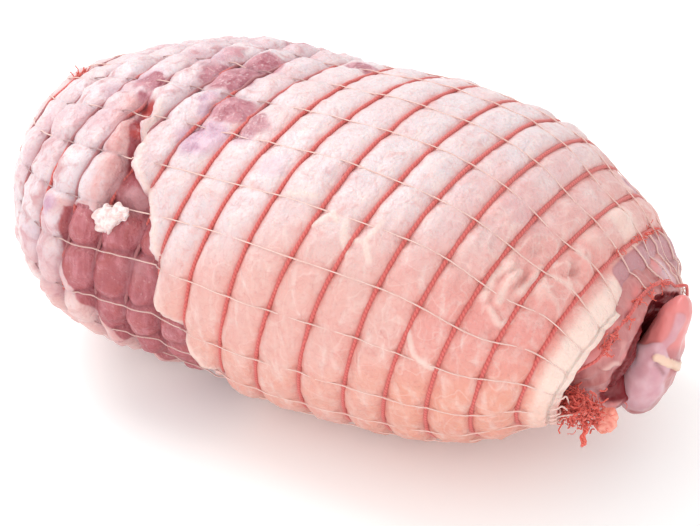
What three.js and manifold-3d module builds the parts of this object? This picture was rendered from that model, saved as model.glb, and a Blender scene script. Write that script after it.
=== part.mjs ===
// Raw boneless goat leg, rolled and held in an elastic meat net.
// Millimetres, +Z up. +X runs along the roll toward its open cut end, and z = 0 is the table.
import * as THREE from "three";
import { mergeVertices } from "three/addons/utils/BufferGeometryUtils.js";
import Module from "manifold-3d";

// Net: red elastic hoops half an inch apart, and white strings that run lengthwise over them.
const HOOP_PITCH = 12.7;
const HOOP_COUNT = 16;
const MIDDLE_HOOP = 9;
const MIDDLE_HOOP_X = 12;
const HOOP_DRIFT = 2; // the stretched net is uneven: hoops drift this far from even spacing
const DRIFT_PERIOD = 9;
const GATHER_HOOP_X = -112;
const LAST_HOOP_BACK = 1.6; // the last hoop lies this far back from the rolled rim
const HOOP_RADIUS = 0.8;
const STRING_COUNT = 22;
const STRING_RADIUS = 0.5;
const FIRST_STRING_ANGLE = THREE.MathUtils.degToRad(10);
const CLEARANCE = 0.35;

// Depths below the crest of the meat that bulges between the strands.
const STRING_SINK = 0.1; // the strings' tops lie this far down
const STRING_DEPTH = STRING_SINK + STRING_RADIUS;
const HOOP_DEPTH = STRING_DEPTH + STRING_RADIUS + CLEARANCE + HOOP_RADIUS;
const HOOP_GROOVE = HOOP_DEPTH + HOOP_RADIUS + CLEARANCE;
const STRING_GROOVE = 2.2;

// Cross-sections of the roll from its closed end to its cut end: x along the roll, half width,
// half height, lift of the underside, shift to +Y, and lean, which is how far a section moves
// to +X for each millimetre above its middle. An underside below z = 0 lies flat on the table.
const SECTIONS = [
  { x: -115, halfWidth: 0, halfHeight: 0, lift: 38, shift: 0, lean: 0 },
  { x: -109, halfWidth: 29, halfHeight: 28, lift: 22, shift: -1, lean: 0 },
  { x: -93, halfWidth: 56, halfHeight: 34, lift: 18, shift: 2, lean: 0.08 },
  { x: -66, halfWidth: 68, halfHeight: 46, lift: 2, shift: 1, lean: 0.16 },
  { x: -30, halfWidth: 64, halfHeight: 49, lift: -2, shift: -1, lean: 0.24 },
  { x: 10, halfWidth: 66, halfHeight: 50, lift: -3, shift: -1, lean: 0.28 },
  { x: 45, halfWidth: 62, halfHeight: 46, lift: -2, shift: 0, lean: 0.28 },
  { x: 69, halfWidth: 56, halfHeight: 36.5, lift: 3.5, shift: 0, lean: 0.24 },
  { x: 82, halfWidth: 49, halfHeight: 28.5, lift: 11.5, shift: 0, lean: 0.22 },
  { x: 90, halfWidth: 43, halfHeight: 19, lift: 17, shift: 2, lean: 0.3 },
];
const SECTION_POWER = 2.2; // 2 would be an ellipse
const SIDE_CROWDING = 0.05; // the strings lie a little closer together at the sides

// The fat cover rolls in over the cut end: shares of the last section, and steps forward.
const RIM_STEPS = [
  { share: 0.92, forward: 2.2 },
  { share: 0.8, forward: 3.2 },
  { share: 0.64, forward: 2 },
];
const RIM_DEPTH = 1.2; // the last hoop draws the rim in a little
const CUT_FACE_SINK = 4;

// Lean muscle lies bare and sunken beside the edge of the fat cover, on the -Y side.
const SUNKEN_DEPTH = 5;
const COVER_EDGE_X = -39;
const COVER_EDGE_ANGLE = THREE.MathUtils.degToRad(150);
const COVER_EDGE_SLOPE = 34; // the edge slants by this many millimetres a radian round the roll
const COVER_STEP = 14;
const SUNKEN_LENGTH = 40;
const HOOP_FOLLOWS = 0.85; // share of the hollow that the taut hoops follow down
const SUNKEN_FROM_ANGLE = THREE.MathUtils.degToRad(112);
const SUNKEN_TO_ANGLE = THREE.MathUtils.degToRad(226);
const SUNKEN_FADE = THREE.MathUtils.degToRad(26);

// Muscles that bulge out of the cut end, and a torn scrap of fat in one mesh of the net.
const INNER_MUSCLE = { centre: [87, 8, 41], halfSize: [17, 28, 19.5], tilt: [0, 0], segments: 18 };
const LOWER_MUSCLE = { centre: [88, 0, 27.5], halfSize: [10, 20, 10.5], tilt: [0, 0], segments: 14 };
const LOBE = { centre: [103.5, 5, 33], halfSize: [7.5, 10, 23], tilt: [0, 0.27], segments: 16 };
const CREVICE_OFFSET = [-3, -4, 2.5]; // the socket round the lobe is wider on this side
const FAT_SCRAP = { centre: [-42.5, -60.5, 62], halfSize: [3.8, 2.5, 4.5], tilt: [0.3, 0], segments: 10 };

// The net's last hoop, drawn in round the lobe.
const END_HOOP_ROUTE = [
  [104, 16, 52],
  [101.5, 7, 57],
  [99.5, -4, 57],
  [97.5, -13, 53],
  [94.5, -21, 46],
  [90, -25, 36],
  [87, -22, 26],
  [88, -9, 20],
  [91, 8, 18],
  [97, 20, 24],
  [102, 23, 38],
];

// Frayed tail of the net, hanging below the cut end.
const TAIL_KNOT = { centre: [94.5, -26, 27], halfSize: [5, 5, 4.5], tilt: [0, 0], segments: 8 };
const TAIL_STRANDS = 7;
const TAIL_STRAND_RADIUS = 1;
const TAIL_REACH = 11;
const TAIL_SHORTER = 0.75; // every other strand reaches this share as far
const TAIL_SPREAD = THREE.MathUtils.degToRad(200);
const TAIL_HEADING = THREE.MathUtils.degToRad(-60);
const TAIL_DROP = 13;
const TAIL_DROP_STEP = 4; // the strands end at three heights
const TAIL_BEND = 0.6; // a strand bends at this share of its reach
const TAIL_BEND_LIFT = 2;

// Mesh fineness.
const COLUMNS_PER_STRING = 2;
const COLUMNS = STRING_COUNT * COLUMNS_PER_STRING;
const ROWS_PER_PITCH = 3;
const CAP_ROWS = 2;
const HOOP_SIDES = 3;
const STRING_SIDES = 3;
const BENT_SPANS = [0, 1, HOOP_COUNT - 1]; // a string bends at the middle of these spans too
const RINGS_PER_SEGMENT = 0.7;

const wasm = await Module();
wasm.setup();

const RAW_MEAT = new THREE.MeshStandardMaterial({ color: "#e8b4ad", roughness: 0.45, metalness: 0 });
const ELASTIC = new THREE.MeshStandardMaterial({ color: "#c9473c", roughness: 0.75, metalness: 0 });
const THREAD = new THREE.MeshStandardMaterial({ color: "#f0e0d6", roughness: 0.8, metalness: 0 });

// Roll surface

const LAST_SECTION = SECTIONS.length - 1;
const profiles = {};
for (const field of Object.keys(SECTIONS[0])) {
  profiles[field] = new THREE.SplineCurve(SECTIONS.map((s, i) => new THREE.Vector2(i, s[field])));
}

// The section at a place that counts the sections from 0, with smooth sizes between them.
function sectionAt(place) {
  const made = {};
  for (const field of Object.keys(profiles)) {
    made[field] = profiles[field].getPoint(place / LAST_SECTION).y;
  }
  return made;
}

// The place whose section stands at x, by halving the stretch that holds it.
function placeAt(x) {
  let low = 0;
  let high = LAST_SECTION;
  for (let turn = 0; turn < 40; turn++) {
    const middle = (low + high) / 2;
    if (sectionAt(middle).x < x) low = middle;
    else high = middle;
  }
  return low;
}

function signedPower(value, power) {
  return Math.sign(value) * Math.abs(value) ** power;
}

// A point on the crest of the roll, at an angle from +Y over the top.
function crestPoint(place, angle) {
  const section = sectionAt(place);
  const turned = angle + SIDE_CROWDING * Math.sin(2 * angle);
  const across = signedPower(Math.cos(turned), 2 / SECTION_POWER);
  const upward = signedPower(Math.sin(turned), 2 / SECTION_POWER);
  return new THREE.Vector3(
    section.x + section.lean * section.halfHeight * upward,
    section.shift + section.halfWidth * across,
    Math.max(0, section.lift + section.halfHeight * (1 + upward)),
  );
}

// How far the lean muscle lies below the fat cover at a place and angle.
function sunkenDepth(place, angle) {
  const { smoothstep, euclideanModulo } = THREE.MathUtils;
  const x = sectionAt(place).x;
  const round = euclideanModulo(angle, 2 * Math.PI);
  const edge = COVER_EDGE_X + COVER_EDGE_SLOPE * (round - COVER_EDGE_ANGLE);
  const step = 1 - smoothstep(x, edge - COVER_STEP, edge);
  const fade = smoothstep(x, edge - SUNKEN_LENGTH, edge - COVER_STEP);
  const from = smoothstep(round, SUNKEN_FROM_ANGLE, SUNKEN_FROM_ANGLE + SUNKEN_FADE);
  const to = 1 - smoothstep(round, SUNKEN_TO_ANGLE - SUNKEN_FADE, SUNKEN_TO_ANGLE);
  return SUNKEN_DEPTH * step * fade * from * to;
}

// A point at a depth below the crest, along the surface's own normal.
function pointBelow(place, angle, depth) {
  const reach = 0.02;
  const along = crestPoint(Math.min(place + reach, LAST_SECTION), angle);
  along.sub(crestPoint(place - reach, angle));
  const round = crestPoint(place, angle + reach).sub(crestPoint(place, angle - reach));
  const inward = along.cross(round).normalize();
  return crestPoint(place, angle).addScaledVector(inward, depth);
}

function columnAngle(column) {
  return FIRST_STRING_ANGLE + (column / COLUMNS) * 2 * Math.PI;
}

function ring(pointAtColumn) {
  return Array.from({ length: COLUMNS }, (_, column) => pointAtColumn(column));
}

// One row of the roll, at a depth below the crest where it lies between two strings and another
// where a string crosses it.
function rollRow(place, depthBetween, depthAtString) {
  return ring((column) => {
    const angle = columnAngle(column);
    const depth = column % COLUMNS_PER_STRING === 0 ? depthAtString : depthBetween;
    return pointBelow(place, angle, depth + sunkenDepth(place, angle));
  });
}

// One row of the rim, drawn in toward the middle of the last section.
function rimRow({ share, forward }) {
  const last = SECTIONS[LAST_SECTION];
  const middle = new THREE.Vector3(last.x, last.shift, last.lift + last.halfHeight);
  return ring((column) => {
    const point = crestPoint(LAST_SECTION, columnAngle(column)).lerp(middle, 1 - share);
    point.x += forward;
    return point;
  });
}

// A closed skin through rows of points, with one point at each end.
function skin(firstEnd, rows, lastEnd) {
  const points = [firstEnd, ...rows.flat(), lastEnd];
  const width = rows[0].length;
  const at = (row, column) => 1 + row * width + (column % width);
  const faces = [];
  for (let column = 0; column < width; column++) {
    faces.push(0, at(0, column + 1), at(0, column));
    for (let row = 0; row + 1 < rows.length; row++) {
      faces.push(at(row, column), at(row, column + 1), at(row + 1, column));
      faces.push(at(row, column + 1), at(row + 1, column + 1), at(row + 1, column));
    }
    faces.push(at(rows.length - 1, column), at(rows.length - 1, column + 1), points.length - 1);
  }
  return new THREE.BufferGeometry().setFromPoints(points).setIndex(faces);
}

// Tubes whose steps end on the points they are given

function route(points, closed) {
  const path = new THREE.CatmullRomCurve3(points, closed);
  path.getUtoTmapping = (share) => share;
  return path;
}

function closedTube(points, radius) {
  return new THREE.TubeGeometry(route(points, true), points.length, radius, HOOP_SIDES, true);
}

function openTube(points, radius, sides) {
  const corners = [];
  for (let side = 0; side < sides; side++) {
    const turn = (side / sides) * 2 * Math.PI;
    corners.push(new THREE.Vector2(radius * Math.cos(turn), radius * Math.sin(turn)));
  }
  const settings = { steps: points.length - 1, extrudePath: route(points, false) };
  return new THREE.ExtrudeGeometry(new THREE.Shape(corners), settings);
}

function ellipsoid({ centre, halfSize, tilt, segments }) {
  const geometry = new THREE.SphereGeometry(1, segments, Math.round(segments * RINGS_PER_SEGMENT));
  return geometry.scale(...halfSize).rotateX(tilt[0]).rotateY(tilt[1]).translate(...centre);
}

// Joins and cuts

function solidOf(geometry) {
  const bare = geometry.clone();
  bare.deleteAttribute("normal");
  bare.deleteAttribute("uv");
  const merged = mergeVertices(bare, 1e-4);
  const vertProperties = new Float32Array(merged.attributes.position.array);
  const triVerts = new Uint32Array(merged.index.array);
  return new wasm.Manifold(new wasm.Mesh({ numProp: 3, vertProperties, triVerts }));
}

function geometryOf(solid) {
  const mesh = solid.getMesh();
  const geometry = new THREE.BufferGeometry();
  geometry.setAttribute("position", new THREE.BufferAttribute(mesh.vertProperties, 3));
  geometry.setIndex(new THREE.BufferAttribute(mesh.triVerts, 1));
  geometry.computeVertexNormals();
  return geometry;
}

// Pieces

const hoopPlaces = [placeAt(GATHER_HOOP_X)];
for (let i = 0; i < HOOP_COUNT; i++) {
  const drift = HOOP_DRIFT * Math.sin((2 * Math.PI * (i - MIDDLE_HOOP + 0.5)) / DRIFT_PERIOD);
  const back = i === HOOP_COUNT - 1 ? LAST_HOOP_BACK : 0;
  hoopPlaces.push(placeAt(MIDDLE_HOOP_X + (i - MIDDLE_HOOP) * HOOP_PITCH + drift - back));
}

function rollGeometry() {
  const rows = [];
  for (let i = 1; i <= CAP_ROWS; i++) {
    rows.push(rollRow((hoopPlaces[0] * i) / (CAP_ROWS + 1), 0, 0));
  }
  hoopPlaces.forEach((place, i) => {
    rows.push(rollRow(place, HOOP_GROOVE, HOOP_GROOVE));
    if (i + 1 === hoopPlaces.length) return;
    for (let step = 1; step < ROWS_PER_PITCH; step++) {
      const between = THREE.MathUtils.lerp(place, hoopPlaces[i + 1], step / ROWS_PER_PITCH);
      rows.push(rollRow(between, 0, STRING_GROOVE));
    }
  });
  rows.push(rollRow(LAST_SECTION, RIM_DEPTH, RIM_DEPTH));
  for (const step of RIM_STEPS) rows.push(rimRow(step));
  const first = SECTIONS[0];
  const last = SECTIONS[LAST_SECTION];
  const closedEnd = new THREE.Vector3(first.x, first.shift, first.lift);
  const cutEnd = new THREE.Vector3(last.x - CUT_FACE_SINK, last.shift, last.lift + last.halfHeight);
  return skin(closedEnd, rows, cutEnd);
}

function hoopGeometry(place) {
  const points = ring((column) => {
    const angle = columnAngle(column);
    return pointBelow(place, angle, HOOP_DEPTH + HOOP_FOLLOWS * sunkenDepth(place, angle));
  });
  return closedTube(points, HOOP_RADIUS);
}

function endHoopGeometry(radius) {
  const path = new THREE.CatmullRomCurve3(END_HOOP_ROUTE.map((p) => new THREE.Vector3(...p)), true);
  return closedTube(path.getSpacedPoints(COLUMNS).slice(1), radius);
}

// A string lies over the hoops and bridges the sunken muscle.
function stringGeometry(angle) {
  const places = [...hoopPlaces];
  for (const span of BENT_SPANS) places.push((hoopPlaces[span] + hoopPlaces[span + 1]) / 2);
  places.sort((a, b) => a - b);
  const points = places.map((place) => pointBelow(place, angle, STRING_DEPTH));
  return openTube(points, STRING_RADIUS, STRING_SIDES);
}

// The lobe lies in a socket of its own size that is moved aside, which leaves a crevice by it.
function meatGeometry() {
  let meat = solidOf(rollGeometry());
  for (const bulge of [INNER_MUSCLE, LOWER_MUSCLE, FAT_SCRAP]) meat = meat.add(solidOf(ellipsoid(bulge)));
  meat = meat.subtract(solidOf(ellipsoid(LOBE).translate(...CREVICE_OFFSET)));
  meat = meat.add(solidOf(ellipsoid(LOBE)));
  meat = meat.subtract(solidOf(endHoopGeometry(HOOP_RADIUS + CLEARANCE)));
  meat = meat.subtract(solidOf(tailGeometry(CLEARANCE)));
  return geometryOf(meat);
}

// The tail's strands fan out from a knot and hang down. A margin makes the whole tail thicker.
function tailGeometry(margin) {
  const thicker = { ...TAIL_KNOT, halfSize: TAIL_KNOT.halfSize.map((size) => size + margin) };
  let tail = solidOf(ellipsoid(thicker));
  const knot = new THREE.Vector3(...TAIL_KNOT.centre);
  for (let i = 0; i < TAIL_STRANDS; i++) {
    const heading = TAIL_HEADING + TAIL_SPREAD * (i / (TAIL_STRANDS - 1) - 0.5);
    const reach = TAIL_REACH * (i % 2 === 0 ? 1 : TAIL_SHORTER);
    const tip = new THREE.Vector3(reach * Math.cos(heading), reach * Math.sin(heading), 0).add(knot);
    tip.z -= TAIL_DROP - TAIL_DROP_STEP * (i % 3);
    const bend = knot.clone().lerp(tip, TAIL_BEND);
    bend.z += TAIL_BEND_LIFT;
    const strand = openTube([knot, bend, tip], TAIL_STRAND_RADIUS + margin, HOOP_SIDES);
    tail = tail.add(solidOf(strand));
  }
  return geometryOf(tail);
}

const part = new THREE.Group();

function addPiece(name, geometry, material) {
  const mesh = new THREE.Mesh(geometry, material);
  mesh.name = name;
  part.add(mesh);
}

const twoDigits = (number) => String(number).padStart(2, "0");

addPiece("meat", meatGeometry(), RAW_MEAT);
addPiece("gather_hoop", hoopGeometry(hoopPlaces[0]), ELASTIC);
for (let i = 1; i <= HOOP_COUNT; i++) {
  addPiece("hoop_" + twoDigits(i), hoopGeometry(hoopPlaces[i]), ELASTIC);
}
addPiece("end_hoop", endHoopGeometry(HOOP_RADIUS), ELASTIC);
for (let i = 0; i < STRING_COUNT; i++) {
  const angle = columnAngle(i * COLUMNS_PER_STRING);
  addPiece("string_" + twoDigits(i + 1), stringGeometry(angle), THREAD);
}
addPiece("net_tail", tailGeometry(0), ELASTIC);

export default part;
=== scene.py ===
"""Raw boneless goat leg, rolled and held in an elastic meat net: the looks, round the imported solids.

Sizes are in millimetres in the part's own frame, and become metres where a mesh is made.
"""
import itertools
import math

import bpy
import numpy as np
from mathutils import Matrix, Vector


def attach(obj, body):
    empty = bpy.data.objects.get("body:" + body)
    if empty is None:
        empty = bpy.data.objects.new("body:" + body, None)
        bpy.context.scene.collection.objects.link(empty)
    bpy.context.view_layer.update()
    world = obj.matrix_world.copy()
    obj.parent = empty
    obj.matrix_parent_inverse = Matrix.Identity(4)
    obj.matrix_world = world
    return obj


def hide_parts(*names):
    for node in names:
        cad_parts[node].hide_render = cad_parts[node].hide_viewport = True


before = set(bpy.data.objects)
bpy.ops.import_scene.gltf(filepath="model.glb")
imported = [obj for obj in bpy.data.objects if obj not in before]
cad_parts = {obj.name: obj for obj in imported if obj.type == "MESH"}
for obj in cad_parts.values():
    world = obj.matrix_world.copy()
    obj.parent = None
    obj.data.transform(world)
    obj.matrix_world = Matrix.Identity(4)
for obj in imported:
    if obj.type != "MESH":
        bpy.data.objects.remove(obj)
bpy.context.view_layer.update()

MM = 0.001
SEED = 11

# The roll's cross-sections, as the solids have them: x, half width, half height, lift, shift, lean.
SECTIONS = np.array([
    (-115, 0, 0, 38, 0, 0.00),
    (-109, 29, 28, 22, -1, 0.00),
    (-93, 56, 34, 18, 2, 0.08),
    (-66, 68, 46, 2, 1, 0.16),
    (-30, 64, 49, -2, -1, 0.24),
    (10, 66, 50, -3, -1, 0.28),
    (45, 62, 46, -2, 0, 0.28),
    (69, 56, 36.5, 3.5, 0, 0.24),
    (82, 49, 28.5, 11.5, 0, 0.22),
    (90, 43, 19, 17, 2, 0.30),
])
LAST_SECTION = len(SECTIONS) - 1
SECTION_POWER = 2.2
SIDE_CROWDING = 0.05

# The net, as the solids have it.
HOOP_PITCH = 12.7
HOOP_COUNT = 16
MIDDLE_HOOP = 9
MIDDLE_HOOP_X = 12
HOOP_DRIFT = 2
DRIFT_PERIOD = 9
GATHER_HOOP_X = -112
LAST_HOOP_BACK = 1.6
STRING_COUNT = 22
FIRST_STRING_ANGLE = math.radians(10)
STRING_STEP = 2 * math.pi / STRING_COUNT
HOOP_RADIUS = 0.6
STRING_RADIUS = 0.25
HOOP_SWAY = 0.012  # sections: about a third of a millimetre of waviness along the roll
STRING_SWAY = math.radians(0.25)

GATHER_SHOWS = [(0, 117, 15, 1.0)]  # where the gather hoop shows red: as patches are given
BARE_END_MIDDLE, BARE_END_HALF = 46, 56  # degrees where bare muscle reaches the last hoop

# Edge of the fat cover and far edge of the bare lean muscle beside it: degrees round the roll, x.
COVER_EDGE = np.array([
    (119, -57), (123, -55), (130, -54), (136, -51), (140, -50), (144, -48), (150, -41), (156, -37),
    (161, -34), (165, -32), (170, -29), (181, -27), (184, -25), (187, -18), (190, -16), (196, -13),
    (202, -8), (207, -3), (225, 2), (252, -12)])
LEAN_EDGE = np.array([
    (119, -62.5), (127, -60), (136, -55), (144, -52.5), (150, -51.5), (158.5, -52.5), (160, -63), (162, -65),
    (173, -65), (180, -63), (182, -61), (188, -58), (192, -56), (196, -53), (202, -49), (207, -45),
    (225, -36), (252, -12)])
FAT_FINGER = [(-56, 150), (-54.5, 156), (-53.5, 159.5)]  # a tongue of fat that lies over the lean: x, degrees
LEAN_FROM, LEAN_TO = 117, 252
LEAN_DEPTH = 4.4

# Patches on the roll: x, degrees, reach in mm, strength. Muscle shows rosy or lilac through thin membrane.
ROSY_PATCHES = [
    (-47, 99, 9, 1.0), (-43, 91, 7, 1.0), (-34, 115, 7, 1.0), (-23, 119, 7, 0.6), (-67, 110, 5, 0.9),
    (-62, 116, 3, 0.7), (-55, 97, 4, 0.5), (-56, 88, 6, 0.5), (-49, 62, 7, 0.8), (-20, 73, 6, 0.8),
    (72, 48, 6, 0.8), (12, 128, 6, 0.35), (-5, 132, 5, 0.3), (60, 300, 12, 0.5), (-20, 330, 14, 0.6),
    (-80, 20, 12, 0.5), (20, 30, 12, 0.4)]
LILAC_PATCHES = [
    (-36, 129, 9, 1.0), (-44, 112, 4, 0.8), (-40, 117, 4, 0.7), (-24, 125, 5, 0.6), (-8, 133, 6, 0.5),
    (-70, 163, 4, 0.9), (-77, 179, 7, 0.4), (-77, 116, 6, 0.4), (-71, 108, 5, 0.6), (-58, 92, 6, 0.5),
    (60, 112, 10, 0.3), (0, 60, 14, 0.3)]
MAUVE_PATCHES = [(-45, 153, 6, 1.0), (-38, 178, 5, 0.5)]  # on the bare muscle
RED_PATCHES = [(-59.5, 120.5, 3.4, 1.0), (-58, 126, 3, 0.9), (-56.5, 131, 2.6, 0.8)]  # in the cleft's top
WHITE_PATCHES = [(80, 80, 9, 0.6), (78, 99, 5, 0.35)]  # thick white fat
QUILTED_PATCHES = [  # strings cut in deep and part the cells
    (-46, 98, 12, 1.0), (-36, 116, 10, 1.0), (-38, 130, 8, 1.0), (-24, 120, 9, 0.7), (-8, 133, 9, 0.4)]
FOLD_PATCHES = [(71, 124, 24, 1.0)]  # loose, wrinkled membrane

# Lines on the roll, through points of x and degrees: thin raised creases of the membrane, then its larger
# folds and the hollows beside them.
CREASES = [[(27, 151), (24, 147), (22, 142)], [(24, 147), (30, 146), (31, 139)], [(30, 146), (34, 151)],
           [(14, 146), (17, 141), (20, 143)], [(2, 140), (10, 138)], [(52, 166), (56, 172), (63, 175)]]
LOOSE_FOLDS = [[(65, 144), (64, 136), (66, 130)], [(69, 144), (67.8, 137), (69.2, 130)],
               [(72, 137), (73.2, 130), (73.2, 125)], [(68, 147), (72, 150.5), (74, 148)],
               [(78, 108), (83, 110)], [(77, 124), (83, 124)]]
FOLD_HOLLOWS = [[(67, 144), (65.9, 137), (67.5, 130)], [(70.6, 141), (70.6, 133), (71.2, 127)],
                [(70.5, 155), (72, 152)], [(79.5, 121), (81, 114)]]
CREASE_WIDTH, FOLD_WIDTH, HOLLOW_WIDTH = 1.1, 1.6, 1.0
CREASE_RISE, FOLD_RISE, HOLLOW_DEPTH = 0.45, 1.8, 1.4

# Muscles in the cut end.
CUT_MUSCLE_CENTRE = np.array((87.0, 5.0, 41.0))
CUT_MUSCLE_HALF = np.array((17.0, 32.0, 19.5))
CUT_MUSCLE_SEED = 31
LOWER_MUSCLE_CENTRE = np.array((88.0, 0.0, 27.5))
LOWER_MUSCLE_HALF = np.array((13.0, 22.0, 10.5))
LOWER_MUSCLE_SEED = 36
LOBE_CENTRE = np.array((102.6, 3.6, 33.6))
LOBE_HALF = np.array((6.6, 9.2, 21.5))
LOBE_TILT = 0.27
LOBE_FOOT = 0.3  # how much wider the lobe's foot is than its middle
SOCKET_FOOT = 0.6
SOCKET_OFFSET = np.array((-1.6, -2.6, 1.2))
SOCKET_STEPS, SOCKET_STEP = 70, 0.4  # to clear the lobe, the cut muscle is pressed back so often, by so much
SHOULDER_BACK = 3.5  # beside its socket the cut muscle slopes back by this much
END_HOOP_ROUTE = np.array([
    (104, 16, 52), (101.5, 7, 57), (99.5, -4, 56), (98.2, -12, 52), (97.6, -17.5, 49.6), (97.2, -22.5, 47.2),
    (96.4, -27, 44.8), (92, -29, 41), (88, -28, 36), (87, -25, 30), (87, -21, 25), (88, -9, 20), (91, 8, 18),
    (97, 20, 24), (102, 23, 38)], float)
# On the cut end, as it is seen from the front: millimetres to the right and up of its middle.
CUT_END_MIDDLE = np.array((100.0, 0.0, 36.0))
TORN_EDGE = [(-15, -4), (-12, -2.5), (-9, -2.8), (-7, -1.5)]  # pale torn fat on the muscle
SILVERSKIN_BAND = [(7.6, 9.8), (5.2, 3.4), (2.5, 0)]
SILVERSKIN = [(0, -2.5), (-2, -7.5), (-1.5, -11)]
FAT_BIT = [(2.2, -1.4), (9.2, -4.6)]
NOTCH = [(1.8, -3.4), (4.2, -6.2)]
LOBE_EDGE = [(2, 14.7), (-3.4, 4.8), (-8.2, -6.3)]
CREVICE = [(5.2, 15.3), (0.1, 9.7), (-3.9, 4.2), (-6.9, -1.4), (-9.9, -6.9), (-11.5, -12)]
CREVICE_HALF_WIDTH = 1.4
LOWER_CREVICE_HALF_WIDTH = 2.2 * CREVICE_HALF_WIDTH
CREVICE_DEPTH = 5.5
CREVICE_STEPS = (0, 1.8, 3.6, 5.4)  # it is as deep from its line to the lobe

# Camera, from the photograph's view of the hoops and outline.
IMAGE_WIDTH = 700
FOCAL_PIXELS = 1500
SENSOR_WIDTH = 36
CAMERA_AZIMUTH = math.radians(33)
CAMERA_ELEVATION = math.radians(27)
CAMERA_TARGET = np.array((-0.6, 0, 36))
CAMERA_DISTANCE = 477.2
CAMERA_BACK = np.array((math.sin(CAMERA_AZIMUTH) * math.cos(CAMERA_ELEVATION),
                        -math.cos(CAMERA_AZIMUTH) * math.cos(CAMERA_ELEVATION), math.sin(CAMERA_ELEVATION)))
CAMERA_RIGHT = np.array((math.cos(CAMERA_AZIMUTH), math.sin(CAMERA_AZIMUTH), 0))
CAMERA_UP = np.cross(CAMERA_BACK, CAMERA_RIGHT)


# Small tools

def linear(hex_colour):
    """An sRGB hex colour as linear RGBA."""
    channels = [int(hex_colour[i:i + 2], 16) / 255 for i in (1, 3, 5)]
    return tuple(c / 12.92 if c <= 0.04045 else ((c + 0.055) / 1.055) ** 2.4 for c in channels) + (1.0,)


def smoothstep(low, high, value):
    """0 up to `low`, 1 from `high` on, smooth between. The two may come the other way round."""
    share = np.clip((value - low) / (high - low), 0, 1)
    return share * share * (3 - 2 * share)


def unit(vectors):
    return vectors / np.linalg.norm(vectors, axis=-1, keepdims=True)


def spline(before, first, second, after, share):
    """A smooth curve from `first` to `second`, which takes its slopes from the points round them."""
    return 0.5 * (2 * first + (second - before) * share
                  + (2 * before - 5 * first + 4 * second - after) * share ** 2
                  + (3 * first - before - 3 * second + after) * share ** 3)


def lumps(points, size, seed):
    """Smooth random heights, about -1 to 1, with lumps `size` apart."""
    place = np.asarray(points) / size
    cell = np.floor(place).astype(np.int64)
    offset = place - cell
    fade = offset ** 3 * (offset * (offset * 6 - 15) + 10)
    total = np.zeros(len(place))
    for corner in itertools.product((0, 1), repeat=3):
        key = cell + corner
        mixed = key[:, 0] * 73856093 ^ key[:, 1] * 19349663 ^ key[:, 2] * 83492791 ^ (seed + SEED) * 2654435
        mixed = (mixed ^ (mixed >> 13)) * 1274126177 & 0x7FFFFFFF
        slopes = np.stack([(mixed >> shift & 0x3FF) / 511.5 - 1 for shift in (2, 11, 20)], axis=1)
        weight = np.prod(np.where(corner, fade, 1 - fade), axis=1)
        total += weight * np.sum(slopes * (offset - corner), axis=1)
    return 1.6 * total


def relief(points, *waves):
    """Lumps of several sizes together: height, size and seed of each."""
    return sum(height * lumps(points, size, seed) for height, size, seed in waves)


def make_piece(name, points, faces, material, node, masks=None):
    """A smooth mesh from points in millimetres, with masks at its points. It stands for a node's solid."""
    mesh = bpy.data.meshes.new(name)
    mesh.from_pydata((np.asarray(points) * MM).tolist(), [], faces)
    mesh.polygons.foreach_set("use_smooth", [True] * len(mesh.polygons))
    for mask, values in (masks or {}).items():
        attribute = mesh.attributes.new(mask, "FLOAT", "POINT")
        attribute.data.foreach_set("value", np.asarray(values, np.float32))
    mesh.materials.append(material)
    mesh.validate()
    piece = bpy.data.objects.new(name, mesh)
    bpy.context.scene.collection.objects.link(piece)
    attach(piece, "root")
    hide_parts(node)


def connect(tree, node, inputs):
    """Links a node's inputs to other nodes' outputs, or sets them to plain values."""
    for name, value in inputs.items():
        if isinstance(value, bpy.types.NodeSocket):
            tree.links.new(value, node.inputs[name])
        else:
            node.inputs[name].default_value = value


def add(tree, kind, inputs=None, **settings):
    """Adds a node with its settings, and links or sets its inputs."""
    node = tree.nodes.new(kind)
    for name, value in settings.items():
        setattr(node, name, value)
    connect(tree, node, inputs or {})
    return node


def new_material(name, *mask_names):
    """A new material with its tree and shader, its coordinates in metres and the masks of its pieces."""
    material = bpy.data.materials.new(name)
    material.use_nodes = True
    tree = material.node_tree
    masks = {mask: add(tree, "ShaderNodeAttribute", attribute_name=mask).outputs["Fac"]
             for mask in mask_names}
    coords = add(tree, "ShaderNodeTexCoord").outputs["Object"]
    return material, tree, tree.nodes["Principled BSDF"], coords, masks


def lay_over(tree, under, over, mask, span=(0, 1), cover=(0, 1)):
    """A colour with another laid over it: as the mask runs over `span`, the cover runs over `cover`."""
    share = add(tree, "ShaderNodeMapRange", {"Value": mask, "From Min": span[0], "From Max": span[1],
                                             "To Min": cover[0], "To Max": cover[1]},
                interpolation_type="SMOOTHSTEP").outputs[0]
    first, second = (linear(colour) if isinstance(colour, str) else colour for colour in (under, over))
    return add(tree, "ShaderNodeMix", {0: share, 6: first, 7: second}, data_type="RGBA").outputs[2]


def lay_all(tree, colour, *layers):
    """A colour with several laid over it in turn: each with its mask, and its span and cover if need be."""
    for layer in layers:
        colour = lay_over(tree, colour, *layer)
    return colour


def per_mm(size):
    """The texture scale whose features are `size` millimetres apart, for coordinates in metres."""
    return 1 / (size * MM)


# The roll's surface

def section_at(place):
    """Sizes of the sections at places that count them from 0, smooth between them."""
    place = np.asarray(place, float)
    padded = np.vstack([SECTIONS[0], SECTIONS, SECTIONS[-1]])
    start = np.clip(np.floor(place).astype(int), 0, LAST_SECTION - 1)
    return spline(*(padded[start + step] for step in range(4)), (place - start)[..., None])


FINE_PLACES = np.linspace(0, LAST_SECTION, 4001)
FINE_X = section_at(FINE_PLACES)[:, 0]


def place_at(x):
    return np.interp(x, FINE_X, FINE_PLACES)


def signed_power(value, power):
    return np.sign(value) * np.abs(value) ** power


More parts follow.
